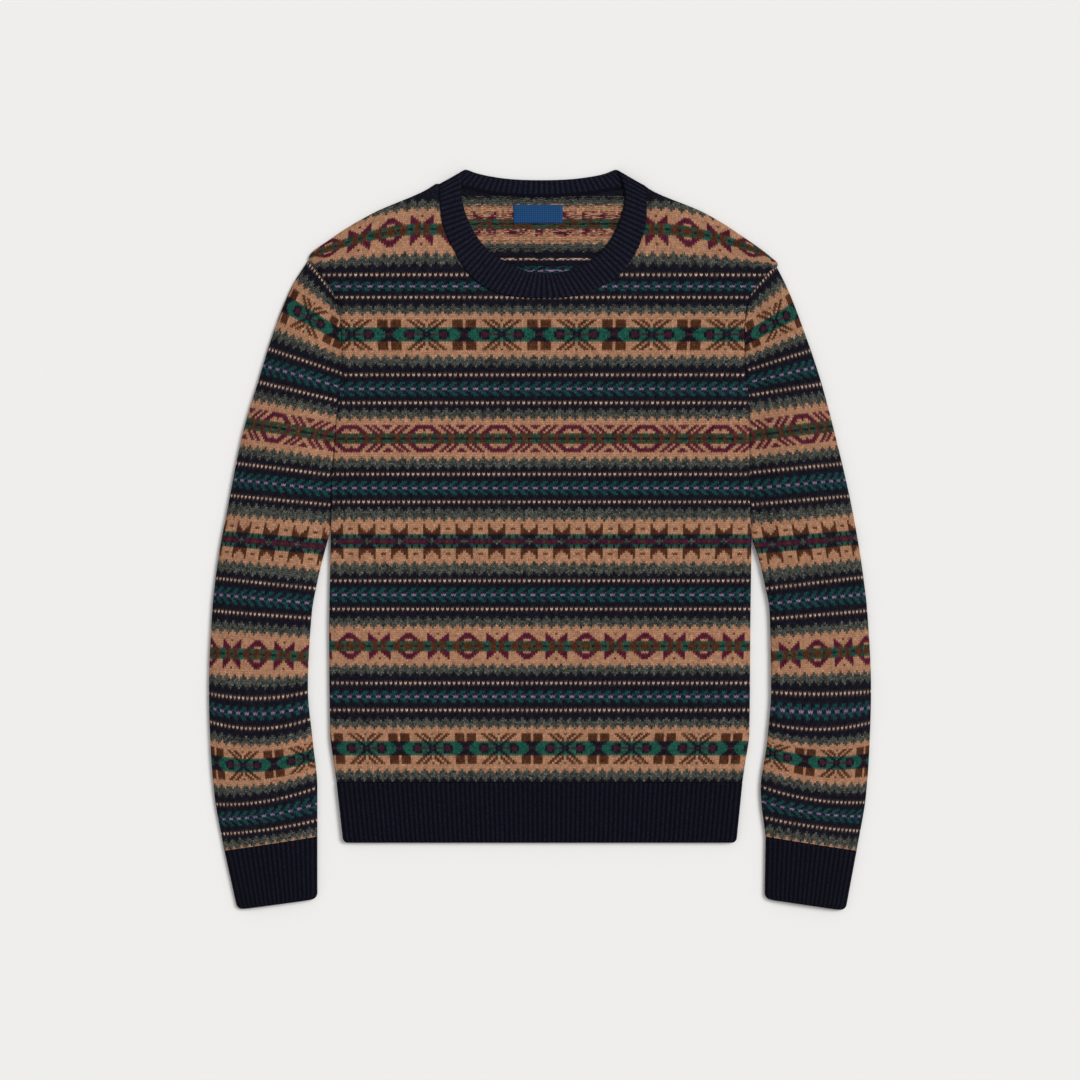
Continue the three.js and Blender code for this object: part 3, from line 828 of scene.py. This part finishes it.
def ribLayer(points, ribs, courses, flip=False):
    # A grid of rib points, courses by ribs
    side, up = np.meshgrid(ribs * 2 + 0.5, courses, indexing="xy")
    low, high = points[..., :2].min((0, 1)), points[..., :2].max((0, 1))
    # Painted shade: light hardly reaches the sunk wales between the ridges, so they are drawn darker, and the
    # ridges are drawn lighter as a painted highlight
    middles = (ribs[:-1] + ribs[1:]) / 2
    shade = mix(rib["paintedShade"], rib["light"], ridge(middles))
    return {"points": points, "yarn": 0, "stitch": np.stack([side, up], -1), "flip": flip,
            "shade": np.broadcast_to(shade, (points.shape[0] - 1, points.shape[1] - 1)),
            "bake": inSquare(points, low, high + 1e-6)}


hem = {
    "joinY": -245, "endY": -306, "join": (-205.5, 204.5), "end": (-199, 198.5), "corner": 5.0,
    "ribs": 84, "courses": 30, "round": 1.6,
    "underLift": 0.2,  # the ribs that lie on the table are pressed flat
}


def hemPoints(ribs, courses, lift):
    # The hem's outer side and its rounded end; lift is how much of the ribs shows as relief
    length = hem["joinY"] - cloth["seam"] - hem["endY"]
    down = np.minimum(courses / hem["courses"], 1)
    around = np.clip((courses - hem["courses"]) / 2, 0, 1) * math.pi / 2
    y = hem["joinY"] - cloth["seam"] - down * (length - hem["round"]) - hem["round"] * np.sin(around)
    share = ribs / hem["ribs"]
    corner = roundCorner(y - hem["endY"], hem["corner"])
    left = mix(hem["join"][0], hem["end"][0], down) + corner
    right = mix(hem["join"][1], hem["end"][1], down) - corner
    x = mix(left[:, None], right[:, None], share)
    inset = np.minimum(share, 1 - share)[None, :] * (right - left)[:, None]
    drop = cloth["edgeRounding"] * np.clip(1 - inset / 6, 0, 1) ** 2
    relief = rib["raise"] * ridge(ribs)[None, :] * bumpAlong(courses)[:, None] * lift
    dip = rib["seamDip"] * (1 - smoothstep(courses, 0, rib["dipOver"]))[:, None]
    z = (cloth["wall"] - drop - dip) * np.cos(around)[:, None] ** 0.7 + relief * np.cos(around)[:, None]
    return np.stack([x, np.broadcast_to(y[:, None], x.shape), z], -1)


def makeHem(name, front):
    ribs = np.arange(hem["ribs"] * rib["perRib"] + 1) / rib["perRib"]
    courses = np.arange(2 * hem["courses"] + 5) / 2  # the last two go round the end
    points = hemPoints(ribs, courses, 1 if front else hem["underLift"])
    points[..., 2] = frontFloor + points[..., 2] if front else cloth["wall"] - points[..., 2]
    if not front:
        points[..., 2] = np.maximum(points[..., 2], cloth["lowest"])
    layer = ribLayer(points, ribs, courses, flip=front)
    sideRims = []
    for i in (0, -1):
        edge = points[:, i]
        low = edge.copy()
        low[:, 2] = frontFloor if front else cloth["wall"]
        pair = [edge, low] if (i == 0) == front else [low, edge]
        sideRims.append(ribLayer(np.stack(pair, 1), np.array([0, 0.2]), courses))
    return gridMesh(name, [layer, *sideRims], navyLambswool)


cuff = {
    "ribs": 19, "length": 60, "heights": (7.4, 6.8), "inside": 9, "corner": 6.0, "turn": 1.2,
    "right": ((-319, -314, -225, -299.5), (-306, -372.5, -225, -361.5)),
    "left": ((320, -314, 228, -299.5), (309, -373.5, 227, -361.5)),
}


def tubeLoop(ends, height, around, inward, corner):
    # A flattened tube's section: around runs 0 to 1 over the top and on to 2 underneath
    outerX, outerY, innerX, innerY = ends
    width = math.hypot(innerX - outerX, innerY - outerY)
    over = around <= 1
    inset = (inward + corner) / width
    turned = max(height * cloth["foldIn"] / width, inset)
    share = np.where(over, inset + (1 - 2 * inset) * around, turned + (1 - 2 * turned) * (2 - around))
    fold = height * cloth["foldAt"]
    top = mix(fold, height, dome(np.where(over, around, 0.5)))
    top = np.where(over, top - inward * dome(around.clip(0, 1)) ** 2, cloth["lowest"] + inward)
    top = np.where(over, np.maximum(top, min(fold, height / 2)), np.minimum(top, height / 2))
    return np.stack([mix(outerX, innerX, share), mix(outerY, innerY, share), top], -1)


def makeCuff(name, side):
    start, end = (np.array(row, float) for row in cuff[side])
    steps = cuff["ribs"] * rib["perRib"]
    around = np.concatenate([np.arange(steps + 1) / steps, 1 + np.arange(1, steps + 1) / steps])
    ribs = around * cuff["ribs"]
    courses = np.arange(0, 2 * round(cuff["length"] / rib["course"]) + 1) / 2
    rowsOut = []
    for c in courses:
        down = c / courses[-1]
        ends = mix(start, end, down)
        height = mix(*cuff["heights"], down)
        corner = roundCorner((1 - down) * cuff["length"] + cuff["turn"], cuff["corner"])
        loop = tubeLoop(ends, height, around, 0, corner)
        dip = rib["seamDip"] * (1 - min(c / rib["dipOver"], 1))
        relief = rib["raise"] * ridge(ribs) * bumpAlong(c) - dip
        loop[:, 2] += np.where(around < 1, relief * dome(np.clip(around, 0, 1)), 0)
        loop[:, 2] = np.maximum(loop[:, 2], cloth["lowest"])
        rowsOut.append(loop)
    # The end turns in round the cloth's thickness, and the inside runs back up the arm
    downArm = (end - start)[:2] / np.linalg.norm((end - start)[:2])
    for angle in np.linspace(0, math.pi, 7)[1:]:
        corner = roundCorner(cuff["turn"] * (1 - math.sin(angle)), cuff["corner"])
        outside = tubeLoop(end, cuff["heights"][1], around, 0, corner)
        inside = tubeLoop(end, cuff["heights"][1], around, cloth["wall"], corner)
        loop = (outside + inside) / 2 + (outside - inside) / 2 * math.cos(angle)
        loop[:, :2] += downArm * cuff["turn"] * math.sin(angle)
        rowsOut.append(loop)
    for back in (0.5, 1.0):
        loop = inside.copy()
        loop[:, :2] -= downArm * cuff["inside"] * back
        rowsOut.append(loop)
    points = np.array(rowsOut)
    turnedIn = courses[-1] + 0.4 * np.arange(1, len(points) - len(courses) + 1)
    allCourses = np.concatenate([courses, turnedIn])
    return gridMesh(name, [ribLayer(points, ribs, allCourses, flip=side == "right")], navyLambswool)


neck = {
    "frontRibs": 66,
    "backRibs": 34,
    "courses": 13,
    "foldSteps": 12,   # round the fold over each shoulder
    "foldRib": 24,     # of those steps to a rib
    "insideRaise": 0.45,
    "softening": 220,  # rounds of smoothing at the folds
    "softReach": 14,
    # painted light: the whole neckband is drawn this many times brighter than the other ribs
    "shade": 1.6,
    "edge": 0.9,       # how round the free edge is
    "chain": 0.22,     # share of the band that its linked edge takes up
}


def outward(sewn, free):
    # Which way the fold at the end of a band stands out
    line = (free - sewn) / np.linalg.norm(free - sewn)
    across = np.array([-line[1], line[0]])
    return across if across[1] > 0 else -across


def neckSections():
    # All round: along the front, over one shoulder, along the back and over the other. Each section
    # has its sewn point, its free one, how far it is folded over, and which way its fold stands out.
    front = list(zip(*bandRun(frontBand, neck["frontRibs"] * rib["perRib"])))
    back = list(zip(*bandRun(backBand, neck["backRibs"] * rib["perRib"])))
    bends = np.linspace(0, math.pi, neck["foldSteps"] + 1)[1:-1]
    leftOut, rightOut = outward(*front[0]), outward(*front[-1])
    sections = [(*ends, 0.0, rightOut) for ends in front]
    sections += [(*front[-1], bend, rightOut) for bend in bends]
    sections += [(*ends, math.pi, rightOut) for ends in back]
    sections += [(*front[0], bend, leftOut) for bend in bends[::-1]]
    folds = len(front) + len(bends) / 2, len(sections) - len(bends) / 2
    sections.append(sections[0])
    overFold = np.arange(len(bends)) / neck["foldRib"]
    ribs = np.concatenate([
        np.arange(len(front)) / rib["perRib"],
        neck["frontRibs"] + overFold,
        neck["frontRibs"] + 1 + np.arange(len(back)) / rib["perRib"],
        neck["frontRibs"] + neck["backRibs"] + 1 + overFold, [0]])
    return sections, ribs, folds


def neckPoints(sections, ribs, profile):
    # The profile at each section, turned over with the fold and raised by the ribs that show
    halfWall = cloth["wall"] / 2
    foldRadius, foldMiddle = halfWall + cloth["seam"] / 2, cloth["wall"] + cloth["seam"] / 2
    points = np.zeros((len(profile), len(sections), 3))
    for i, (sewn, free, turn, out) in enumerate(sections):
        facing = np.array([out[0] * math.sin(turn), out[1] * math.sin(turn), math.cos(turn)])
        middle = np.array([0, 0, foldMiddle]) + facing * foldRadius
        line = np.append((free - sewn) / np.linalg.norm(free - sewn), 0)
        for j, (share, side, past) in enumerate(profile):
            lifted = ridge(ribs[i]) * bumpAlong(share * neck["courses"])
            lifted *= min(1, 4 * (1 - share) + 0.3) * min(1, 6 * share + 0.2)
            grow = rib["raise"] * lifted if turn < 0.1 and side > 0 else 0
            if turn > 3 and side < 0:
                grow = neck["insideRaise"] * lifted * smoothstep(share, 0.15, 0.3)
            base = np.append(mix(sewn, free, share), 0) + middle
            edge = line * (past - (share == 1.0)) * halfWall * neck["edge"]
            points[j, i] = base + facing * side * (halfWall + grow) + edge
    return points


def softenFolds(points, freed, folds):
    # The band rounds off where it folds over at the shoulders: the free edge most, the sewn edge least
    place = np.arange(points.shape[1] - 1)
    near = sum(np.exp(-((place - fold) / neck["softReach"]) ** 2) for fold in (*folds, folds[1] - len(place)))
    weight = 0.6 * near.clip(0, 1)[None, :, None] * (0.3 + 0.7 * freed[:, None, None])
    ring = points[:, :-1, :2]
    for _ in range(neck["softening"]):
        ring = ring + weight * ((np.roll(ring, 1, 1) + np.roll(ring, -1, 1)) / 2 - ring)
    points[:, :-1, :2] = ring
    points[:, -1] = points[:, 0]
    points[..., 2] = np.maximum(points[..., 2], cloth["lowest"])


def makeNeckband():
    sections, ribs, folds = neckSections()
    face = np.arange(0, 2 * neck["courses"] + 1) / 2 / neck["courses"]
    # Round the section: outer face to the free edge, over it, and down the inner face
    profile = [(share, 1.0, 0.0) for share in face]
    profile += [(1.0, math.cos(a), math.sin(a)) for a in np.linspace(0, math.pi, 7)[1:-1]]
    profile += [(share, -1.0, 0.0) for share in face[::-1]]
    profile.append(profile[0])
    freed = np.array([share for share, _, _ in profile])
    points = neckPoints(sections, ribs, profile)
    softenFolds(points, freed, folds)
    layer = ribLayer(points, ribs, freed * neck["courses"])
    # A plain linked chain runs along the sewn edge behind, drawn dark with the ribs' painted shade; the whole
    # band is drawn brighter as painted light
    place = np.arange(len(sections) - 1)
    behind = (place > folds[0]) & (place < folds[1])
    sewnRows = (freed[1:] < neck["chain"]) & (freed[:-1] < neck["chain"])
    chain = sewnRows[:, None] & behind[None, :]
    layer["shade"] = neck["shade"] * np.where(chain, rib["paintedShade"], layer["shade"])
    return gridMesh("neckband_rib", [layer], navyLambswool)


# Neck label

label = {
    "left": -27.0, "right": 23.0, "low": 320.0, "high": 339.0, "thick": 0.6, "thread": 0.35,
    "cells": (40, 16),
}


def makeLabelCloth():
    # Damask-woven polyester: tight, flat and faintly glossy, in one blue
    material, tree = newMaterial("damaskPolyester")
    place = addNode(tree, "TexCoord").outputs["Object"]
    # The threads are 0.15 mm apart on a real label, drawn at more than twice that so that they show
    weft, warp = (addNode(tree, "TexWave", {"wave_type": "BANDS", "bands_direction": way},
                          {"Vector": place, "Scale": 1000 / label["thread"] / 20, "Distortion": 0.4})
                  for way in ("Y", "X"))
    weave = addNode(tree, "Math", {"operation": "MULTIPLY"}, {0: weft.outputs["Fac"], 1: warp.outputs["Fac"]})
    colour = addNode(tree, "Mix", {"data_type": "RGBA"},
                     {"Factor": weave.outputs[0], "A": linear("#0c3560"), "B": linear("#1a5585")})
    bump = addNode(tree, "Bump", inputs={"Height": weave.outputs[0], "Distance": 0.0001, "Strength": 0.5})
    shader = addNode(tree, "BsdfPrincipled", inputs={
        "Base Color": colour.outputs["Result"], "Roughness": 0.6, "Specular IOR Level": 0.12, "IOR": 1.58,
        "Normal": bump.outputs["Normal"]})
    addNode(tree, "OutputMaterial", inputs={"Surface": shader.outputs[0]})
    return material


def makeLabel():
    across, up = label["cells"]
    x = np.linspace(label["left"], label["right"], across + 1)
    y = np.linspace(label["low"], label["high"], up + 1)
    plan = np.stack(np.meshgrid(x, y, indexing="xy"))
    inset = np.minimum.reduce([plan[0] - x[0], x[-1] - plan[0], plan[1] - y[0], y[-1] - plan[1]])
    top = frontFloor + label["thick"] * (0.35 + 0.65 * np.sqrt(np.clip(inset / 1.2, 0, 1)))
    top += 0.12 * np.sin(plan[0] / 6.5) * np.sin(plan[1] / 4.1)
    points = np.stack([*plan, top], -1)
    flat = {"points": points, "keep": np.ones((up, across), bool), "yarn": np.zeros((up, across)),
            "stitch": points[..., :2], "bake": inSquare(points, [x[0], y[0]], [x[-1], y[-1]])}
    return gridMesh("neck_label_cloth", [flat, rimLayer(flat, frontFloor)], makeLabelCloth())


# The pieces

bodyGrid = chartGrid(body["bands"], body["count"], body["reach"])
front = makeFront(bodyGrid)
back = makeBack(bodyGrid)
sleeveRight = makeSleeve("sleeve_right_knit", "right", rightCreases)
sleeveLeft = makeSleeve("sleeve_left_knit", "left", leftCreases)
hemFront = makeHem("hem_front_rib", True)
hemBack = makeHem("hem_back_rib", False)
cuffRight = makeCuff("cuff_right_rib", "right")
cuffLeft = makeCuff("cuff_left_rib", "left")
neckband = makeNeckband()
labelCloth = makeLabel()

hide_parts("front")
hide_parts("back")
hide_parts("sleeve_right")
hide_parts("sleeve_left")
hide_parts("hem_rib_front")
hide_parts("hem_rib_back")
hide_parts("cuff_right")
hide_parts("cuff_left")
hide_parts("neckband")
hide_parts("neck_label")


# Floor, light and camera

studio = {
    "floor": 9.0,           # m, each way
    "pixel": 1.01,          # mm of the garment in a pixel of a 1080 pixel picture
    "lens": 85.0,
    "focus": 0.005,         # m, the height at which a pixel is that large
    "tooth": 900.0,         # grains of the paper in a metre
    "lampAt": (0.9, 0.5, 1.4),
    "skyStrength": 0.52,
    "lampStrength": 2.1,
    "lampSpread": 28.0,       # degrees, how wide the softbox looks from the table
    "lampTilt": (20.0, 40.0),  # degrees, from above: towards the neck, and towards the wearer's left
}


def makePaper():
    # Matt off-white background paper: even, with the faintest tooth
    material, tree = newMaterial("mattPaper")
    place = addNode(tree, "TexCoord").outputs["Object"]
    tooth = addNode(tree, "TexNoise", inputs={"Vector": place, "Scale": studio["tooth"]})
    bump = addNode(tree, "Bump", inputs={"Height": tooth.outputs["Fac"], "Distance": 0.0001, "Strength": 0.1})
    shader = addNode(tree, "BsdfPrincipled", inputs={
        "Base Color": linear("#efeeec"), "Roughness": 0.95, "Specular IOR Level": 0.1,
        "Normal": bump.outputs["Normal"]})
    addNode(tree, "OutputMaterial", inputs={"Surface": shader.outputs[0]})
    return material


def makeFloor():
    half = studio["floor"] / 2
    mesh = bpy.data.meshes.new("paper")
    corners = [(-half, -half, 0), (half, -half, 0), (half, half, 0), (-half, half, 0)]
    mesh.from_pydata(corners, [], [(0, 1, 2, 3)])
    mesh.materials.append(makePaper())
    floor = addObject("paper", mesh)


def makeLight():
    world = bpy.data.worlds.new("studio")
    world.use_nodes = True
    sky = world.node_tree.nodes["Background"].inputs
    sky["Color"].default_value = (1, 1, 1, 1)
    sky["Strength"].default_value = studio["skyStrength"]
    bpy.context.scene.world = world
    lamp = bpy.data.lights.new("softbox", "SUN")
    lamp.angle = math.radians(studio["lampSpread"])
    lamp.energy = studio["lampStrength"]
    softbox = addObject("softbox", lamp)
    softbox.location = studio["lampAt"]
    towardsNeck, towardsLeft = studio["lampTilt"]
    softbox.rotation_euler = (math.radians(-towardsNeck), math.radians(towardsLeft), 0)


def makeCamera():
    data = bpy.data.cameras.new("overhead")
    data.lens = studio["lens"]
    wide = 1.080 * studio["pixel"]
    camera = addObject("overhead", data)
    camera.location = (0, 0, wide * studio["lens"] / data.sensor_width + studio["focus"])
    bpy.context.scene.camera = camera


makeFloor()
makeLight()
makeCamera()
bpy.context.scene.view_settings.view_transform = "Standard"
print("set the floor, light and camera")
